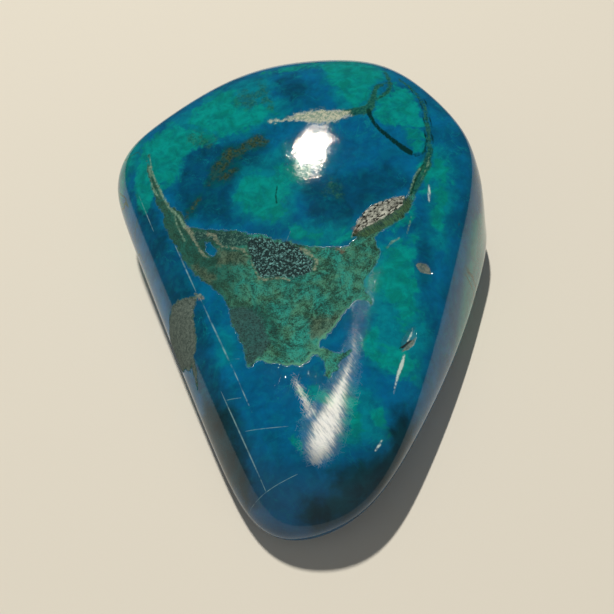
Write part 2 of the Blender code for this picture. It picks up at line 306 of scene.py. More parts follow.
BRIGHT_AREAS = (
    ((7.5, 22.4), (13.0, 22.8), (15.5, 19.0), (19.0, 16.0), (20.8, 13.6), (16.0, 10.8),
     (11.0, 11.0), (8.0, 15.0)),
    ((2.6, 36.4), (6.4, 36.0), (7.8, 31.0), (8.0, 26.6), (4.4, 25.6), (3.4, 31.0)),
    ((-5.0, -24.6), (5.0, -24.4), (6.4, -27.0), (3.0, -33.0), (-2.0, -36.0), (-6.0, -30.0)),
    ((11.4, -13.8), (14.0, -13.4), (14.8, -16.0), (12.6, -20.0), (10.0, -21.4), (8.0, -20.4),
     (10.4, -16.6)),
    ((12.0, -24.0), (18.0, -25.0), (17.6, -31.0), (13.0, -29.0)),
    ((-9.6, 3.8), (-6.4, 3.4), (-3.4, 1.6), (2.0, 1.8), (5.0, 5.0), (1.2, 8.0), (-0.4, 1.2),
     (-8.0, 1.2)),
    ((-20.4, -1.2), (-18.2, -3.6), (-16.6, -6.6), (-18.2, -7.4), (-21.2, -3.4)),
    ((-13.0, -9.6), (-10.6, -11.2), (-9.4, -14.2), (-10.6, -14.6), (-13.4, -11.8)),
)
TEAL_AREAS = (
    ((-30.0, 19.0), (-22.0, 27.5), (-14.0, 33.5), (-6.0, 36.5), (-5.0, 28.0), (-1.0, 25.6),
     (-1.0, 22.8), (-7.0, 21.4), (-12.0, 19.6), (-19.0, 19.0), (-22.0, 11.0), (-29.0, 11.0)),
    ((-10.4, 12.6), (-10.0, 4.0), (-4.0, 2.0), (0.4, 1.6), (1.4, 8.0), (6.0, 12.6), (6.0, 15.4),
     (-2.0, 17.0), (-6.0, 14.6)),
    ((4.0, 40.0), (4.6, 33.0), (8.0, 25.2), (14.0, 24.6), (16.5, 35.0), (12.0, 40.0)),
    ((14.0, -2.8), (22.0, 0.4), (22.4, -12.0), (23.4, -16.0), (22.6, -26.0), (17.0, -25.0),
     (12.6, -21.0), (15.2, -16.0), (12.8, -11.0)),
    ((10.6, -27.0), (14.6, -28.0), (17.6, -31.0), (17.0, -36.0), (11.0, -37.4)),
    ((0.0, 2.6), (3.0, 2.6), (11.6, 1.8), (11.0, -1.4), (5.6, -2.0), (0.6, -0.8)),
    ((24.0, 18.0), (28.0, 16.0), (28.2, 8.0), (27.0, -3.0), (24.4, -2.0), (24.2, 8.0)),
    ((-10.0, -17.0), (-7.4, -18.0), (-5.4, -23.6), (-9.4, -24.0)),
)
# Painted dark reflections near the nose: dark patches where the polish mirrors dark surroundings
PAINTED_DARK_REFLECTIONS = (
    ((9.6, -41.5), (12.5, -40.0), (15.2, -38.3), (17.4, -36.5), (18.2, -31.0), (21.0, -31.0),
     (23.0, -36.0), (19.0, -43.0), (13.5, -49.0), (8.0, -51.0), (5.6, -49.0), (6.2, -46.0),
     (10.5, -45.0), (9.4, -43.4)),
    ((-12.5, -30.0), (-6.5, -30.5), (-4.0, -38.0), (-1.6, -46.0), (-3.4, -49.0), (-9.0, -44.0),
     (-15.0, -35.0)),
)
# Scratches in the polish of the top: X and Y of both ends, and half width in millimetres
SCRATCHES = (
    (-20.1, -0.9, -14.9, -10.3, 0.11),
    (-14.2, -11.2, -5.3, -27.3, 0.12),
    (-6.3, -25.5, -3.0, -31.8, 0.08),
    (-8.5, -27.8, 0.2, -43.4, 0.09),
    (-7.4, -29.4, -5.0, -29.3, 0.05),
    (-3.8, -34.6, 2.8, -34.2, 0.05),
    (-2.6, -44.6, 4.8, -41.4, 0.05),
    (-7.3, -22.7, -6.0, -22.7, 0.05),
    (3.1, -26.0, 6.8, -32.5, 0.1),
    (4.2, -28.0, 7.0, -33.0, 0.12),
    (0.4, 0.8, -0.2, -1.0, 0.05),
    (-28.6, 10.0, -24.6, 2.4, 0.07),
)

# On the map, the sides run outwards by this share of their distance below the top
SIDE_REACH = 0.9
SIDE_START = 1.0

# Finer facets: the part of the map that has thin veins, and how far below the top it goes
FINE_MIDDLE = 1.0
FINE_HALF_WIDTH = 28.0
FINE_FRONT = -46.0
FINE_REAR = 37.0
FINE_DEPTH = 4.0

# Where the drawn pattern gives way to the invented one: on the low sides and at the rear
DRAWN_DOWN_TO = -0.25
DRAWN_FADE = 0.2
DRAWN_MIDDLE = 2.0
DRAWN_HALF_WIDTH = 30.0
DRAWN_REAR = 40.0
DRAWN_EDGE = 5.0
FAR_OUTSIDE = 9.0

# The ways that the lap's marks run in, in degrees
LAP_TURNS = (15.0, 78.0, 137.0)

# Camera: focal length and picture width in pixels, place in millimetres, turns in degrees
FOCAL_LENGTH = 752.0
PICTURE_WIDTH = 614.0
SENSOR_WIDTH = 36.0
CAMERA_PLACE = (16.28, -92.13, 109.14)
CAMERA_LEFTWARD = 8.765
CAMERA_DOWNWARD = 49.508
CAMERA_ROLL = -5.62

# Lamp over the rear left: the way to it, its long way, sizes in metres and power in watts
LAMP_WAY = (-0.15, 0.32, 1.0)
LAMP_LONG_WAY = (0.25, 0.95, 0.0)
LAMP_DISTANCE = 1.2
LAMP_WIDTH = 0.022
LAMP_LENGTH = 0.1
LAMP_POWER = 12.2

# Colour of the lamp, and how much of each colour a surface keeps under it
LAMP_COLOUR = (1.0, 0.9, 0.75)
LAMP_WARMTH = (1.0, 0.945, 0.847)

# Room: its colour, its strength in front of the stone and behind it, and the floor's width
ROOM_COLOUR = (1.0, 0.94, 0.84, 1.0)
ROOM_FRONT = 0.3
ROOM_BACK = 0.06
FLOOR_WIDTH = 3.0


def heading(azimuth, elevation):
    """The direction that a face looks in."""
    turn = math.radians(azimuth)
    rise = math.radians(elevation)
    return np.array(
        (math.cos(rise) * math.cos(turn), math.cos(rise) * math.sin(turn), math.sin(rise))
    )


def smooth_step(value):
    """0 below 0, 1 above 1, and a soft rise between."""
    value = np.clip(value, 0.0, 1.0)
    return value * value * (3.0 - 2.0 * value)


def body_radius(ways):
    """Distance from the heart to the skin, for each direction."""
    total = np.zeros(len(ways))
    for _name, azimuth, elevation, distance in LAPPED_FACES:
        share = np.maximum(ways @ heading(azimuth, elevation), 0.0) / distance
        total += share**EDGE_CRISPNESS
    return total ** (-1.0 / EDGE_CRISPNESS)


def hollow_places(points, hollow):
    """How far out each point is in a hollow: 0 at its middle, 1 at its rim."""
    _name, x, y, turn, half_length, half_width, _depth, rim = hollow
    turn = math.radians(turn)
    east = points[:, 0] - x
    north = points[:, 1] - y
    along = (east * math.cos(turn) + north * math.sin(turn)) / half_length
    across = (north * math.cos(turn) - east * math.sin(turn)) / half_width
    if rim == 2:
        return np.hypot(along, across)
    width = np.maximum(1.0 - along**2, 1e-6)
    return np.where(np.abs(along) < 1.0, np.abs(across) / width, 9.0)


def skin(ways):
    """Points of the stone's skin in millimetres, for each direction from the heart."""
    points = np.array(HEART) + body_radius(ways)[:, None] * ways
    upward = smooth_step(ways[:, 2] / SWELL_FADE)
    lift = np.zeros(len(points))
    for _name, x, y, half_width, half_length, height in SWELLS:
        spread = ((points[:, 0] - x) / half_width) ** 2 + ((points[:, 1] - y) / half_length) ** 2
        lift += height * np.exp(-spread)
    for hollow in HOLLOWS:
        place = hollow_places(points, hollow)
        lift -= hollow[6] * np.sqrt(np.maximum(1.0 - place**2, 0.0))
    points[:, 2] += lift * upward
    return points


def height_of_top(east, north):
    """Height of the top's own lapped face over a place on the table."""
    _name, azimuth, elevation, distance = next(face for face in LAPPED_FACES if face[0] == "top")
    up = heading(azimuth, elevation)
    slope = up[0] * (east - HEART[0]) + up[1] * (north - HEART[1])
    height = HEART[2] + (distance - slope) / up[2]
    for _name, x, y, half_width, half_length, rise in SWELLS:
        spread = ((east - x) / half_width) ** 2 + ((north - y) / half_length) ** 2
        height = height + rise * np.exp(-spread)
    return height


def top_map(points):
    """Places on the map of the top, on which the sides are folded outwards."""
    drop = np.maximum(height_of_top(points[:, 0], points[:, 1]) - points[:, 2] - SIDE_START, 0.0)
    outward = points[:, :2] - np.array(HEART[:2])
    outward /= np.maximum(np.linalg.norm(outward, axis=1), 1e-6)[:, None]
    return points[:, :2] + outward * (drop * SIDE_REACH)[:, None]


def inside_outline(places, outline):
    """Distance in millimetres to a closed outline, positive inside it."""
    corners = np.array(outline)
    nearest = np.full(len(places), 1e9)
    inside = np.zeros(len(places), bool)
    for first, second in zip(corners, np.roll(corners, -1, axis=0)):
        edge = second - first
        away = places - first
        share = np.clip((away @ edge) / (edge @ edge), 0.0, 1.0)
        nearest = np.minimum(nearest, np.linalg.norm(away - share[:, None] * edge, axis=1))
        if first[1] != second[1]:
            crosses = (first[1] > places[:, 1]) != (second[1] > places[:, 1])
            reach = first[0] + (places[:, 1] - first[1]) * edge[0] / edge[1]
            inside ^= crosses & (places[:, 0] < reach)
    return np.where(inside, nearest, -nearest)


def inside_ribbon(places, ribbon):
    """Distance in millimetres to the edge of a ribbon of changing width, positive inside it."""
    best = np.full(len(places), -1e9)
    path = np.array(ribbon)
    for first, second in zip(path[:-1], path[1:]):
        edge = second[:2] - first[:2]
        away = places - first[:2]
        share = np.clip((away @ edge) / max(edge @ edge, 1e-9), 0.0, 1.0)
        width = first[2] + share * (second[2] - first[2])
        best = np.maximum(best, width - np.linalg.norm(away - share[:, None] * edge, axis=1))
    return best


def widest(fields):
    """Several distance fields as one: the most that any of them reaches."""
    best = fields[0]
    for field in fields[1:]:
        best = np.maximum(best, field)
    return best


def ways_of(stone):
    """The direction of every point of a ball from its middle."""
    flat = np.empty(len(stone.data.vertices) * 3)
    stone.data.vertices.foreach_get("co", flat)
    ways = flat.reshape(-1, 3)
    return ways / np.linalg.norm(ways, axis=1)[:, None]


def write_field(stone, name, values):
    """Keeps one number for each point of the stone, for the material to read."""
    attribute = stone.data.attributes.new(name, "FLOAT", "POINT")
    attribute.data.foreach_set("value", values.astype(np.float32))


def cut_stone():
    """The stone as a fine ball that is lapped to the same faces as the solid part."""
    bpy.ops.object.select_all(action="DESELECT")
    bpy.ops.mesh.primitive_ico_sphere_add(subdivisions=BALL_SUBDIVISIONS, radius=1.0)
    stone = bpy.context.object
    stone.name = "chrysocolla_stone"
    stone.data.name = "chrysocolla_stone"
    bpy.ops.object.mode_set(mode="EDIT")
    bpy.ops.mesh.select_all(action="SELECT")
    bpy.ops.transform.resize(value=BALL_SPREAD)
    bpy.ops.mesh.select_all(action="DESELECT")
    bpy.ops.object.mode_set(mode="OBJECT")

    # The polished top gets finer facets, because its veins are thin
    ways = ways_of(stone)
    points = skin(ways)
    places = top_map(points)
    near = np.abs(places[:, 0] - FINE_MIDDLE) < FINE_HALF_WIDTH
    near &= (places[:, 1] > FINE_FRONT) & (places[:, 1] < FINE_REAR)
    near &= ways[:, 2] > 0.0
    near &= height_of_top(points[:, 0], points[:, 1]) - points[:, 2] < FINE_DEPTH
    for face in stone.data.polygons:
        face.select = all(near[corner] for corner in face.vertices)
    bpy.ops.object.mode_set(mode="EDIT")
    bpy.ops.mesh.select_mode(type="FACE")
    bpy.ops.mesh.subdivide(number_cuts=1)
    bpy.ops.mesh.select_all(action="SELECT")
    bpy.ops.mesh.quads_convert_to_tris()
    bpy.ops.mesh.select_all(action="DESELECT")
    bpy.ops.object.mode_set(mode="OBJECT")
    return stone


def shape_stone(stone):
    """Moves every point out to the skin, laps the base flat and writes the pattern of the stone."""
    ways = ways_of(stone)
    points = skin(ways)
    heart = np.array(HEART)
    below = points[:, 2] < 0.0
    share = np.where(below, heart[2] / np.maximum(heart[2] - points[:, 2], 1e-6), 1.0)
    points = heart + (points - heart) * share[:, None]
    places = top_map(points)
    drawn = smooth_step((ways[:, 2] - DRAWN_DOWN_TO) / DRAWN_FADE)

    patch = widest([
        inside_outline(places, MALACHITE_PATCH), inside_outline(places, SIDE_PATCH),
        inside_ribbon(places, SIDE_TAIL), inside_ribbon(places, LEFT_VEIN),
    ])
    patch = np.minimum(patch, -inside_outline(places, BLUE_WINDOW))
    eye_pit, _pocket, small_chip, long_chip = (
        1.0 - hollow_places(points, hollow) for hollow in HOLLOWS
    )

    def outlines(*areas):
        return widest([inside_outline(places, area) for area in areas])

    def ribbons(*lines):
        return widest([inside_ribbon(places, line) for line in lines])

    def spots(rounds):
        return widest([inside_ribbon(places, (spot, spot)) for spot in rounds])

    fields = {
        "patch": patch,
        "side patch": widest([outlines(SIDE_PATCH), ribbons(SIDE_TAIL)]),
        "lower rim": ribbons(LOWER_RIM),
        "pocket": outlines(CRYSTAL_POCKET),
        "dark seam": outlines(DARK_SEAM),
        "grey gravel": outlines(GREY_GRAVEL),
        "green gravel": ribbons(DARK_GREEN_GRAVEL),
        "brown gravel": widest([outlines(BROWN_GRAVEL, OLIVE_BROWN), ribbons(BROWN_STREAK)]),
        "pit floor": outlines(PIT_FLOOR),
        "pit wall": widest([outlines(PIT_WALL), 2.0 * eye_pit]),
        "chip": widest([0.7 * small_chip, ribbons(CHIP_FACET)]),
        "rubbed": widest([ribbons(*RUBBED_POLISH), 4.0 * small_chip, 4.0 * long_chip]),
        "rub and painted highlight": ribbons(*RUB_AND_PAINTED_HIGHLIGHT),
        "haze": ribbons(HIGH_POLISH_HAZE),
        "dark crack": ribbons(DARK_CRACK),
        "glint line": ribbons(*GLINT_LINES),
        "tan line": ribbons(*TAN_LINES),
        "pale edge": ribbons(*PALE_EDGES),
        "rust": spots(RUST_SPOTS),
        "pale vein": ribbons(UPPER_VEIN_PALE),
        "olive vein": ribbons(RIGHT_ARM, *UPPER_VEIN_DARK),
        "dark vein": ribbons(*DARK_VEINS, *ARM_DARK_LINES),
        "stain": ribbons(*STAINS),
        "faint stain": ribbons(*FAINT_STAINS),
        "side speck": spots(SIDE_SPECKS),
        "green": outlines(*GREEN_AREAS),
        "deep": outlines(*DEEP_AREAS),
        "bright": outlines(*BRIGHT_AREAS),
        "teal": outlines(*TEAL_AREAS),
        "painted_dark_reflection": outlines(*PAINTED_DARK_REFLECTIONS),
    }
    for name, field in fields.items():
        field = np.where(drawn > 0.0, field, -FAR_OUTSIDE)
        write_field(stone, name, np.clip(field, -FAR_OUTSIDE, FAR_OUTSIDE))
    beside = np.abs(places[:, 0] - DRAWN_MIDDLE) - DRAWN_HALF_WIDTH
    behind = places[:, 1] - DRAWN_REAR
    unseen = smooth_step(np.maximum(beside, behind) / DRAWN_EDGE)
    write_field(stone, "unseen", np.maximum(unseen, 1.0 - drawn))

    stone.data.vertices.foreach_set("co", (points * MM).ravel())
    stone.data.update()
    bpy.ops.object.select_all(action="DESELECT")
    stone.select_set(True)
    bpy.context.view_layer.objects.active = stone
    bpy.ops.object.mode_set(mode="EDIT")
    bpy.ops.mesh.select_all(action="SELECT")
    bpy.ops.mesh.normals_make_consistent(inside=False)
    bpy.ops.mesh.select_all(action="DESELECT")
    bpy.ops.object.mode_set(mode="OBJECT")
    bpy.ops.object.shade_smooth()


def shade(red, green, blue):
    """A colour as the eye sees it under the lamp, 0 to 255, in the units that a shader takes."""
    parts = []
    for value, warmth in zip((red, green, blue), LAMP_WARMTH):
        value = value / 255.0
        value = value / 12.92 if value <= 0.04045 else ((value + 0.055) / 1.055) ** 2.4
        parts.append(min(value / warmth, 1.0))
    return (*parts, 1.0)


def put(socket, value):
    """Sets a socket, or links it when the value is another socket."""
    if isinstance(value, bpy.types.NodeSocket):
        socket.id_data.links.new(value, socket)
    else:
        socket.default_value = value


def calculate(tree, operation, first, second=0.0, third=None):
    node = tree.nodes.new("ShaderNodeMath")
    node.operation = operation
    put(node.inputs[0], first)
    put(node.inputs[1], second)
    if third is not None:
        put(node.inputs[2], third)
    return node.outputs[0]


def from_to(tree, value, low, high, start=0.0, end=1.0):
    """A soft rise from start to end while the value goes from low to high."""
    node = tree.nodes.new("ShaderNodeMapRange")
    node.interpolation_type = "SMOOTHSTEP"
    names = ("Value", "From Min", "From Max", "To Min", "To Max")
    for name, amount in zip(names, (value, low, high, start, end)):
        put(node.inputs[name], amount)
    return node.outputs["Result"]


def blend(tree, share, first, second):
    node = tree.nodes.new("ShaderNodeMix")
    node.data_type = "RGBA"
    put(node.inputs[0], share)
    put(node.inputs[6], first)
    put(node.inputs[7], second)
    return node.outputs[2]


def cloud(tree, place, fineness, detail=3.0, roughness=0.55, distortion=0.0):
    """Soft noise, about 0.5 on average. Its blobs are one over the fineness in size."""
    node = tree.nodes.new("ShaderNodeTexNoise")
    put(node.inputs["Vector"], place)
    put(node.inputs["Scale"], fineness)
    put(node.inputs["Detail"], detail)
    put(node.inputs["Roughness"], roughness)
    put(node.inputs["Distortion"], distortion)
    return node.outputs["Fac"]


def turned(tree, place, turn, measures):
    """Places in a frame that is turned, and measured in its own units along each way."""
    node = tree.nodes.new("ShaderNodeMapping")
    node.vector_type = "TEXTURE"
    put(node.inputs["Vector"], place)
    put(node.inputs["Rotation"], turn)
    put(node.inputs["Scale"], measures)
    return node.outputs[0]


def flat_turn(degrees):
    """A turn about the upright axis, as a shader takes it."""
    return (0.0, 0.0, math.radians(degrees))


def group(name, inputs, outputs):
    """An empty shader node group with named sockets, and its ends."""
    tree = bpy.data.node_groups.new(name, "ShaderNodeTree")
    for label, kind, value in inputs:
        socket = tree.interface.new_socket(label, in_out="INPUT", socket_type=kind)
        if value is not None:
            socket.default_value = value
    for label, kind in outputs:
        tree.interface.new_socket(label, in_out="OUTPUT", socket_type=kind)
    start = tree.nodes.new("NodeGroupInput")
    end = tree.nodes.new("NodeGroupOutput")
    return tree, start.outputs, end.inputs


def place_group(tree, made, **values):
    node = tree.nodes.new("ShaderNodeGroup")
    node.node_tree = made
    for name, value in values.items():
        put(node.inputs[name.replace("_", " ")], value)
    return node.outputs


NUMBER = "NodeSocketFloat"
COLOUR = "NodeSocketColor"
VECTOR = "NodeSocketVector"


def ragged_edge():
    """A mask from a distance in millimetres, with an uneven and soft edge."""
    tree, given, made = group(
        "ragged edge",
        (("Place", VECTOR, None), ("Distance", NUMBER, 0.0), ("Grain", NUMBER, 1.0),
         ("Raggedness", NUMBER, 0.5), ("Softness", NUMBER, 0.5)),
        (("Mask", NUMBER), ("Distance", NUMBER)),
    )
    fineness = calculate(tree, "DIVIDE", 1.0, given["Grain"])
    wander = cloud(tree, given["Place"], fineness, 5.0, 0.58, 0.5)
    wander = calculate(tree, "MULTIPLY", calculate(tree, "SUBTRACT", wander, 0.5), 4.0)
    moved = calculate(tree, "MULTIPLY_ADD", wander, given["Raggedness"], given["Distance"])
    half = calculate(tree, "MULTIPLY", given["Softness"], 0.5)
    mask = from_to(tree, moved, calculate(tree, "MULTIPLY", half, -1.0), half)
    put(made["Mask"], mask)
    put(made["Distance"], moved)
    return tree


def cloudy_colour():
    """Two shades that drift into each other, in large clouds and in small ones."""
    tree, given, made = group(
        "cloudy colour",
        (("Place", VECTOR, None), ("First Shade", COLOUR, None), ("Second Shade", COLOUR, None),
         ("Size", NUMBER, 5.0), ("Contrast", NUMBER, 1.0)),
        (("Colour", COLOUR), ("Share", NUMBER)),
    )
    fineness = calculate(tree, "DIVIDE", 1.0, given["Size"])
    large = cloud(tree, given["Place"], fineness, 5.0, 0.62, 0.6)
    share = calculate(tree, "MULTIPLY", calculate(tree, "SUBTRACT", large, 0.5), given["Contrast"])
    share = from_to(tree, share, -0.22, 0.22)
    put(made["Colour"], blend(tree, share, given["First Shade"], given["Second Shade"]))
    put(made["Share"], share)
    return tree


def mineral_grain():
    """Fine uneven grain of a size in millimetres: its tone and its height."""
    tree, given, made = group(
        "mineral grain",
        (("Place", VECTOR, None), ("Size", NUMBER, 0.4)),
        (("Grain", NUMBER), ("Height", NUMBER)),
    )
    fineness = calculate(tree, "DIVIDE", 1.0, given["Size"])
    speckle = cloud(tree, given["Place"], fineness, 5.0, 0.72, 0.5)
    put(made["Grain"], from_to(tree, speckle, 0.34, 0.66))
    put(made["Height"], speckle)
    return tree


def flowing_bands():
    """Thin uneven bands that follow an outline and wander a little, as malachite grows."""
    tree, given, made = group(
        "flowing bands",
        (("Place", VECTOR, None), ("Distance", NUMBER, 0.0), ("Spacing", NUMBER, 0.8),
         ("Wander", NUMBER, 3.0)),
        (("Band", NUMBER),),
    )
    wander = cloud(tree, given["Place"], 0.25, 5.0, 0.62)
    along = calculate(tree, "MULTIPLY_ADD", wander, given["Wander"], given["Distance"])
    bands = tree.nodes.new("ShaderNodeTexNoise")
    bands.noise_dimensions = "1D"
    put(bands.inputs["W"], along)
    put(bands.inputs["Scale"], calculate(tree, "DIVIDE", 1.0, given["Spacing"]))
    bands.inputs["Detail"].default_value = 4.0
    bands.inputs["Roughness"].default_value = 0.65
    put(made["Band"], from_to(tree, bands.outputs["Fac"], 0.36, 0.64))
    return tree


def crystal_facets():
    """Small crystals, each with a tone and a height of its own. Measures are in millimetres."""
    tree, given, made = group(
        "crystal facets",
        (("Place", VECTOR, None), ("Turn", VECTOR, None),
         ("Measures", VECTOR, (0.3, 0.3, 0.3))),
        (("Facet", NUMBER), ("Height", NUMBER)),
    )
    cells = tree.nodes.new("ShaderNodeTexVoronoi")
    put(cells.inputs["Vector"], turned(tree, given["Place"], given["Turn"], given["Measures"]))
    cells.inputs["Scale"].default_value = 1.0
    split = tree.nodes.new("ShaderNodeSeparateColor")
    put(split.inputs[0], cells.outputs["Color"])
    broken = cloud(tree, given["Place"], 3.0, 4.0, 0.7)
    broken = calculate(tree, "MULTIPLY", broken, 0.6)
    put(made["Facet"], calculate(tree, "MULTIPLY_ADD", split.outputs[0], 0.55, broken))
    put(made["Height"], calculate(tree, "SUBTRACT", split.outputs[1], cells.outputs["Distance"]))
    return tree


def polish_marks():
    """Faint marks that a lap leaves in a polish, in three directions: their height and share."""
    tree, given, made = group(
        "polish marks",
        (("Place", VECTOR, None), ("Length", NUMBER, 3.0), ("Width", NUMBER, 0.3)),
        (("Height", NUMBER), ("Share", NUMBER)),
    )
    measures = tree.nodes.new("ShaderNodeCombineXYZ")
    put(measures.inputs[0], given["Length"])
    put(measures.inputs[1], given["Width"])
    put(measures.inputs[2], given["Length"])
    total, most = 0.0, 0.0
    for turn in LAP_TURNS:
        lain = turned(tree, given["Place"], flat_turn(turn), measures.outputs[0])
        marks = cloud(tree, lain, 1.0, 1.0)
        total = calculate(tree, "ADD", total, from_to(tree, marks, 0.52, 0.74))
        most = calculate(tree, "MAXIMUM", most, marks)
    put(made["Height"], total)
    put(made["Share"], from_to(tree, most, 0.42, 0.74))
    return tree


def hairline_scratch():
    """A mask for one straight scratch between two places on the top."""
    tree, given, made = group(
        "hairline scratch",
        (("Place", VECTOR, None), ("Start", VECTOR, None), ("End", VECTOR, None),
         ("Half Width", NUMBER, 0.08)),
        (("Mask", NUMBER),),
    )
    flat = tree.nodes.new("ShaderNodeVectorMath")
    flat.operation = "MULTIPLY"
    put(flat.inputs[0], given["Place"])
    flat.inputs[1].default_value = (1.0, 1.0, 0.0)

    def vector(operation, first, second):
        node = tree.nodes.new("ShaderNodeVectorMath")
        node.operation = operation
        put(node.inputs[0], first)
        put(node.inputs[3 if operation == "SCALE" else 1], second)
        single = operation in ("DOT_PRODUCT", "DISTANCE")
        return node.outputs["Value" if single else "Vector"]

    away = vector("SUBTRACT", flat.outputs[0], given["Start"])
    line = vector("SUBTRACT", given["End"], given["Start"])
    share = vector("DOT_PRODUCT", away, line)
    share = calculate(tree, "DIVIDE", share, vector("DOT_PRODUCT", line, line))
    share = calculate(tree, "MINIMUM", calculate(tree, "MAXIMUM", share, 0.0), 1.0)
    gap = vector("DISTANCE", away, vector("SCALE", line, share))

    # It is widest in its middle and thin at both ends
    taper = calculate(tree, "MULTIPLY", share, calculate(tree, "SUBTRACT", 1.0, share))
    taper = calculate(tree, "POWER", calculate(tree, "MULTIPLY", taper, 4.0), 0.4)
    width = calculate(tree, "MULTIPLY", given["Half Width"], taper)
    outer = calculate(tree, "MULTIPLY", width, 1.6)
    inner = calculate(tree, "MULTIPLY", width, 0.3)
    put(made["Mask"], from_to(tree, gap, outer, inner))
    return tree


def polished_stone():
    material = bpy.data.materials.new("polished chrysocolla and malachite")
    material.use_nodes = True
    tree = material.node_tree
    shader = tree.nodes["Principled BSDF"]
    edge, clouds, grain = ragged_edge(), cloudy_colour(), mineral_grain()
    scratch, bands = hairline_scratch(), flowing_bands()
    facets, marks = crystal_facets(), polish_marks()

    where = tree.nodes.new("ShaderNodeTexCoord").outputs["Object"]
    scaled = tree.nodes.new("ShaderNodeVectorMath")
    scaled.operation = "SCALE"
    put(scaled.inputs[0], where)
    scaled.inputs[3].default_value = 1.0 / MM
    place = scaled.outputs[0]

    def times(first, second):
        return calculate(tree, "MULTIPLY", first, second)

    def plus(first, second):
        return calculate(tree, "ADD", first, second)

    def larger(first, second):
        return calculate(tree, "MAXIMUM", first, second)

    def rise(value, low, high, start=0.0, end=1.0):
        return from_to(tree, value, low, high, start, end)

    def mix(share, first, second):
        return blend(tree, share, first, second)

    def field(name):
        node = tree.nodes.new("ShaderNodeAttribute")
        node.attribute_name = name
        return node.outputs["Fac"]

    def area(name, size, raggedness, softness, grow=0.0):
        distance = plus(field(name), grow)
        return place_group(
            tree, edge, Place=place, Distance=distance,
            Grain=size, Raggedness=raggedness, Softness=softness,
        )

    def tones(first, second, size, contrast=1.0):
        return place_group(
            tree, clouds, Place=place,
            First_Shade=first, Second_Shade=second, Size=size, Contrast=contrast,
        )

    def drifting(first, second, size, contrast=1.0):
        return tones(first, second, size, contrast)["Colour"]

    def grains(size):
        return place_group(tree, grain, Place=place, Size=size)

    def patches(size, low, high):
        return rise(cloud(tree, place, 1.0 / size, 5.0, 0.62, 0.6), low, high)

    def creases(size, roughness, distortion):
        noise = cloud(tree, place, 1.0 / size, 4.0, roughness, distortion)
        return calculate(tree, "ABSOLUTE", calculate(tree, "SUBTRACT", noise, 0.5))

    medium, fine, coarse = grains(0.5), grains(0.22), grains(1.6)

    def grainy(first, second):
        return mix(medium["Grain"], first, second)

    # Blue body with brighter and deeper clouds and teal veils
    unseen = field("unseen")
    body = drifting(shade(0, 82, 118), shade(0, 104, 150), 5.0, 1.3)
    bright = area("bright", 3.0, 1.0, 3.0)["Mask"]
    body = mix(times(bright, 0.7), body, drifting(shade(0, 80, 124), shade(0, 102, 150), 2.5))
    deep = area("deep", 3.0, 1.4, 3.2)["Mask"]
    body = mix(times(deep, 0.8), body, drifting(shade(0, 56, 74), shade(0, 72, 107), 4.0, 1.3))
    teal = area("teal", 3.2, 1.5, 2.8)["Mask"]
    body = mix(times(teal, 0.85), body, drifting(shade(0, 106, 124), shade(0, 134, 146), 2.4, 1.3))
    veil = tones(shade(0, 80, 114), shade(0, 126, 140), 1.8, 1.3)
    body = mix(times(veil["Share"], 0.25), body, veil["Colour"])

    # Green areas, soft and cloudy, with fine flecks and faint streaks
    wild = times(patches(22.0, 0.5, 0.58), unseen)
    green = larger(area("green", 2.2, 1.7, 1.5)["Mask"], wild)
    greens = drifting(shade(0, 120, 112), shade(0, 148, 141), 2.6, 1.3)
    body = mix(times(green, rise(coarse["Height"], 0.3, 0.6, 0.7, 1.0)), body, greens)
    body = mix(times(rise(coarse["Height"], 0.56, 0.38), 0.16), body, shade(0, 58, 80))
    flecks = times(rise(medium["Height"], 0.56, 0.72), larger(green, teal))
    body = mix(times(flecks, 0.25), body, shade(20, 162, 156))
    web = times(rise(creases(6.0, 0.6, 1.2), 0.012, 0.003), patches(9.0, 0.46, 0.6))
    body = mix(times(web, 0.4), body, shade(10, 136, 140))
    axes = tree.nodes.new("ShaderNodeSeparateXYZ")
    put(axes.inputs[0], place)
    # Darker towards the nose tip: painted dark reflection of what stands in front of the nose
    body = mix(rise(axes.outputs["Y"], -30.0, -48.0, 0.0, 0.6), body, shade(0, 52, 86))
    # Painted dark reflections near the nose, where the polish mirrors dark surroundings
    painted_dark_reflection = area("painted_dark_reflection", 2.6, 1.2, 4.0)["Mask"]
    body = mix(times(painted_dark_reflection, 0.9), body, drifting(shade(0, 30, 34), shade(0, 54, 62), 4.0))

    # Brown and olive stains with a dark halo
    patchy = patches(1.1, 0.42, 0.58)
    halo = area("stain", 1.8, 0.9, 1.6, 0.6)["Mask"]
    body = mix(times(halo, 0.65), body, drifting(shade(0, 60, 62), shade(0, 84, 76), 1.4, 1.4))
    stain = times(area("stain", 1.3, 0.8, 1.0)["Mask"], rise(patchy, 0.0, 1.0, 0.35, 1.0))
    body = mix(times(stain, 0.8), body, grainy(shade(6, 46, 34), shade(76, 86, 48)))
    faint = times(area("faint stain", 1.4, 1.1, 1.4)["Mask"], rise(patchy, 0.0, 1.0, 0.45, 1.0))
    body = mix(times(faint, 0.6), body, grainy(shade(0, 66, 58), shade(48, 108, 80)))

    # Thin veins
    dark_vein = area("dark vein", 0.9, 0.16, 0.35)["Mask"]
    body = mix(times(dark_vein, 0.85), body, shade(0, 46, 44))
    wild_vein = times(rise(creases(17.0, 0.5, 0.8), 0.012, 0.004), unseen)
    body = mix(times(wild_vein, 0.85), body, grainy(shade(0, 48, 40), shade(60, 100, 70)))
    olive_vein = area("olive vein", 1.0, 0.26, 0.45)
    olives = grainy(shade(0, 60, 50), shade(44, 106, 78))
    body = mix(times(olive_vein["Mask"], 0.85), body, olives)
    thin_vein = area("dark vein", 0.7, 0.1, 0.25, -0.04)["Mask"]
    body = mix(times(thin_vein, 0.75), body, shade(0, 42, 36))
    # Pale vein: real pale grains, whose lightest cream also paints part of the dome highlight's
    # halo
    pale_vein = area("pale vein", 0.9, 0.6, 1.3)
    pales_and_halo = mix(rise(medium["Grain"], 0.1, 0.9), shade(70, 112, 88), shade(170, 174, 146))
    body = mix(times(pale_vein["Mask"], 0.92), body, pales_and_halo)

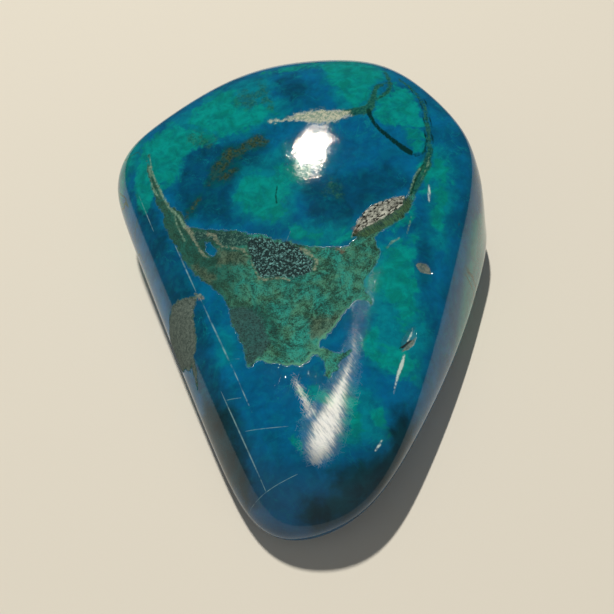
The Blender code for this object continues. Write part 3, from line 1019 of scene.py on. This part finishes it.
    # Malachite patch: fine grains and short wandering bands, olive and teal tones, gravel
    patch = area("patch", 1.1, 0.36, 0.3)
    flow = place_group(
        tree, bands, Place=place, Distance=patch["Distance"], Spacing=0.5, Wander=6.0
    )
    swirl = rise(cloud(tree, place, 1.0 / 3.0, 6.0, 0.72, 1.6), 0.36, 0.64)
    lift = plus(times(flow["Band"], 0.22), times(swirl, 0.4))
    lift = plus(lift, plus(times(medium["Grain"], 0.2), times(fine["Grain"], 0.4)))
    lift = rise(lift, 0.22, 1.0)
    olive = tones(shade(0, 0, 0), shade(255, 255, 255), 3.4, 1.3)["Share"]
    darks = mix(olive, shade(0, 60, 54), shade(8, 50, 36))
    lights = mix(olive, shade(34, 152, 138), shade(68, 136, 110))
    matrix = mix(lift, darks, lights)
    shaded = rise(axes.outputs["X"], -4.0, -13.0, 0.0, 0.7)
    matrix = mix(shaded, matrix, shade(0, 58, 48))
    gritty = plus(times(medium["Grain"], 0.5), times(fine["Grain"], 0.5))
    brown = area("brown gravel", 1.0, 0.7, 1.2)["Mask"]
    matrix = mix(times(brown, 0.7), matrix, mix(lift, shade(14, 46, 34), shade(96, 112, 88)))
    grey = area("grey gravel", 1.0, 0.6, 1.0)["Mask"]
    matrix = mix(times(grey, 0.85), matrix, mix(gritty, shade(0, 20, 24), shade(50, 96, 96)))
    gloom = area("green gravel", 1.0, 0.6, 1.0)["Mask"]
    matrix = mix(times(gloom, 0.7), matrix, mix(lift, shade(0, 42, 40), shade(10, 92, 78)))
    side = area("side patch", 1.0, 0.5, 1.0)["Mask"]
    matrix = mix(times(side, 0.95), matrix, mix(gritty, shade(16, 42, 40), shade(112, 126, 116)))
    rim = times(rise(patch["Distance"], -0.1, 0.1), rise(patch["Distance"], 0.6, 0.2))
    rim = times(rim, rise(field("lower rim"), 0.0, 0.8))
    matrix = mix(times(rim, 0.7), matrix, shade(92, 160, 128))
    body = mix(patch["Mask"], body, matrix)

    # Dark seam and crystal pocket
    crystal = place_group(tree, facets, Place=place, Measures=(0.26, 0.26, 0.26))
    glint = times(rise(crystal["Facet"], 0.54, 0.86), rise(fine["Grain"], 0.1, 0.8, 0.3, 1.0))
    seam = area("dark seam", 1.0, 0.5, 0.6)["Mask"]
    body = mix(times(seam, 0.85), body, mix(glint, shade(0, 54, 54), shade(84, 130, 116)))
    pocket = area("pocket", 1.0, 0.4, 0.5)
    crystals = mix(glint, shade(0, 30, 36), shade(112, 172, 168))
    body = mix(times(pocket["Mask"], 0.95), body, crystals)

    # Pale and tan lines, and the silvery floor and dark wall of the pit
    tan = area("tan line", 0.6, 0.3, 0.4, -0.12)["Mask"]
    body = mix(times(tan, 0.75), body, grainy(shade(64, 92, 76), shade(156, 160, 136)))
    pale = area("pale edge", 0.8, 0.14, 0.3)["Mask"]
    body = mix(times(pale, 0.7), body, grainy(shade(70, 120, 100), shade(150, 180, 154)))
    wall = area("pit wall", 0.8, 0.25, 0.4)
    groove = cloud(tree, turned(tree, place, flat_turn(120.0), (1.6, 0.22, 1.6)), 1.0, 3.0, 0.6)
    grooved = mix(rise(groove, 0.32, 0.68), shade(0, 40, 32), shade(64, 98, 60))
    body = mix(times(wall["Mask"], 0.9), body, grooved)
    pit = area("pit floor", 0.6, 0.24, 0.3)
    silver = place_group(
        tree, facets, Place=place, Turn=flat_turn(34.0), Measures=(0.5, 0.24, 0.3)
    )
    shine = rise(silver["Facet"], 0.3, 0.78)
    body = mix(pit["Mask"], body, mix(shine, shade(20, 24, 22), shade(196, 200, 186)))
    rust = area("rust", 0.5, 0.3, 0.6)["Mask"]
    body = mix(times(rust, 0.35), body, shade(142, 96, 70))

    # Chips in the right bevel, with a crack and thin painted glints along edges, and specks low on
    # the side
    chip = area("chip", 0.6, 0.1, 0.14)
    body = mix(times(chip["Mask"], 0.9), body, grainy(shade(58, 84, 80), shade(124, 130, 116)))
    crack = area("dark crack", 0.5, 0.08, 0.2)["Mask"]
    body = mix(crack, body, shade(0, 22, 28))
    painted_glint = area("glint line", 0.5, 0.06, 0.16)
    body = mix(times(painted_glint["Mask"], 0.9), body, shade(190, 212, 204))
    speck = area("side speck", 0.5, 0.35, 0.4)["Mask"]
    body = mix(times(speck, 0.6), body, shade(58, 58, 46))

    # Scratches in the polish
    scratches = None
    for x, y, to_x, to_y, half_width in SCRATCHES:
        mask = place_group(
            tree, scratch, Place=place,
            Start=(x, y, 0.0), End=(to_x, to_y, 0.0), Half_Width=half_width,
        )["Mask"]
        scratches = mask if scratches is None else larger(scratches, mask)
    scratches = times(scratches, patches(2.5, 0.34, 0.6))
    body = mix(times(scratches, 0.6), body, shade(150, 190, 190))

    # Polish: fine lap marks, a haze on the dome and a rubbed streak behind the nose, painted cream
    # where its highlight falls
    lapped = place_group(tree, marks, Place=place, Length=2.6, Width=0.17)
    smear = cloud(tree, place, 1.0 / 6.0, 5.0, 0.7)
    hairs = place_group(tree, marks, Place=place, Length=0.8, Width=0.07)["Share"]
    haze = times(rise(field("haze"), -2.8, 1.8), rise(hairs, 0.62, 0.68))
    gloss = plus(rise(smear, 0.3, 0.7, 0.022, 0.042), times(haze, 0.24))
    rubbed = plus(rise(field("rubbed"), -1.2, 1.0, -0.1, 1.1), lapped["Share"])
    rubbed = rise(rubbed, 1.0, 1.04)
    streaks = turned(tree, place, flat_turn(-52.0), (1.8, 0.22, 1.8))
    streaks = cloud(tree, streaks, 1.0, 5.0, 0.7)
    rub_and_painted_highlight = rise(field("rub and painted highlight"), -2.4, 1.5, -0.45, 0.48)
    rub_and_painted_highlight = calculate(tree, "MULTIPLY_ADD", streaks, 1.1, rub_and_painted_highlight)
    worn = rise(rub_and_painted_highlight, 0.2, 1.05, 0.85, 0.335)
    # Painted highlight: cream painted into the rubbed streak where the lamp's highlight falls
    painted_highlight_cream = times(times(rubbed, rise(rub_and_painted_highlight, 0.5, 1.05)), 0.3)
    body = mix(painted_highlight_cream, body, shade(176, 164, 124))
    put(shader.inputs["Base Color"], body)

    # Gloss: hard polish on the blue, dull on grains, crystals and in the pit, with crisp edges
    dull = 0.0
    rough_parts = (
        (patch, 0.95), (pale_vein, 0.5), (pocket, 0.95), (wall, 0.9),
        (pit, 0.7), (chip, 0.5), (painted_glint, 0.6),
    )
    for part, amount in rough_parts:
        dull = larger(dull, times(rise(part["Distance"], -0.13, -0.08), amount))
    gloss = larger(gloss, times(rubbed, worn))
    put(shader.inputs["Roughness"], larger(gloss, dull))
    shader.inputs["IOR"].default_value = 1.5
    shader.inputs["Metallic"].default_value = 0.0

    # Relief: grains and crystals stand out, polish is faintly wavy and marked
    height = times(patch["Mask"], times(medium["Height"], 0.05))
    height = plus(height, times(pocket["Mask"], times(crystal["Height"], 0.02)))
    height = plus(height, times(pit["Mask"], times(silver["Height"], 0.08)))
    height = plus(height, times(wall["Mask"], times(groove, 0.1)))
    height = plus(height, times(lapped["Height"], 0.0012))
    height = plus(height, times(cloud(tree, place, 1.0 / 5.0, 2.0, 0.5), 0.005))
    height = calculate(tree, "SUBTRACT", height, times(scratches, 0.006))
    relief = tree.nodes.new("ShaderNodeBump")
    relief.inputs["Strength"].default_value = 1.0
    relief.inputs["Distance"].default_value = MM
    put(relief.inputs["Height"], height)
    put(shader.inputs["Normal"], relief.outputs["Normal"])
    return material


def pale_floor():
    bpy.ops.object.select_all(action="DESELECT")
    bpy.ops.mesh.primitive_plane_add(size=FLOOR_WIDTH, location=(0.0, 0.0, 0.0))
    floor = bpy.context.object
    floor.name = "pale_floor"
    material = bpy.data.materials.new("pale paper")
    material.use_nodes = True
    shader = material.node_tree.nodes["Principled BSDF"]
    shader.inputs["Base Color"].default_value = shade(227, 222, 208)
    shader.inputs["Roughness"].default_value = 0.9
    floor.data.materials.append(material)


def key_light():
    """One long soft lamp over the rear left, turned a little to the right."""
    way = Vector(LAMP_WAY).normalized()
    along = Vector(LAMP_LONG_WAY)
    along = (along - way * along.dot(way)).normalized()
    lamp = bpy.data.lights.new("key light", "AREA")
    lamp.shape = "RECTANGLE"
    lamp.size = LAMP_WIDTH
    lamp.size_y = LAMP_LENGTH
    lamp.energy = LAMP_POWER
    lamp.color = LAMP_COLOUR
    thing = bpy.data.objects.new("key light", lamp)
    turn = Matrix((along.cross(way), along, way)).transposed()
    thing.matrix_world = Matrix.Translation(way * LAMP_DISTANCE) @ turn.to_4x4()
    bpy.context.scene.collection.objects.link(thing)


def studio():
    """The lamp, and a soft room that is brighter in front of the stone than behind it."""
    key_light()
    world = bpy.data.worlds.new("soft studio")
    world.use_nodes = True
    tree = world.node_tree
    way = tree.nodes.new("ShaderNodeSeparateXYZ")
    put(way.inputs[0], tree.nodes.new("ShaderNodeTexCoord").outputs["Object"])
    backdrop = tree.nodes["Background"]
    backdrop.inputs["Color"].default_value = ROOM_COLOUR
    strength = from_to(tree, way.outputs["Y"], -0.5, 0.25, ROOM_FRONT, ROOM_BACK)
    put(backdrop.inputs["Strength"], strength)
    bpy.context.scene.world = world
    bpy.context.scene.view_settings.view_transform = "Standard"


def camera():
    """The camera, turned up from straight down, then to its side, and rolled about its own view."""
    view = bpy.data.cameras.new("view")
    view.sensor_width = SENSOR_WIDTH
    view.lens = FOCAL_LENGTH * SENSOR_WIDTH / PICTURE_WIDTH
    view.clip_start = 0.01
    eye = bpy.data.objects.new("view", view)
    leftward = Matrix.Rotation(math.radians(CAMERA_LEFTWARD), 4, "Z")
    upward = Matrix.Rotation(math.radians(90.0 - CAMERA_DOWNWARD), 4, "X")
    roll = Matrix.Rotation(math.radians(CAMERA_ROLL), 4, "Z")
    place = Matrix.Translation(Vector(CAMERA_PLACE) * MM)
    eye.matrix_world = place @ leftward @ upward @ roll
    bpy.context.scene.collection.objects.link(eye)
    bpy.context.scene.camera = eye


camera()
studio()
pale_floor()
stone = cut_stone()
shape_stone(stone)
stone.data.materials.append(polished_stone())
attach(stone, "root")
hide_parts("polished_freeform")
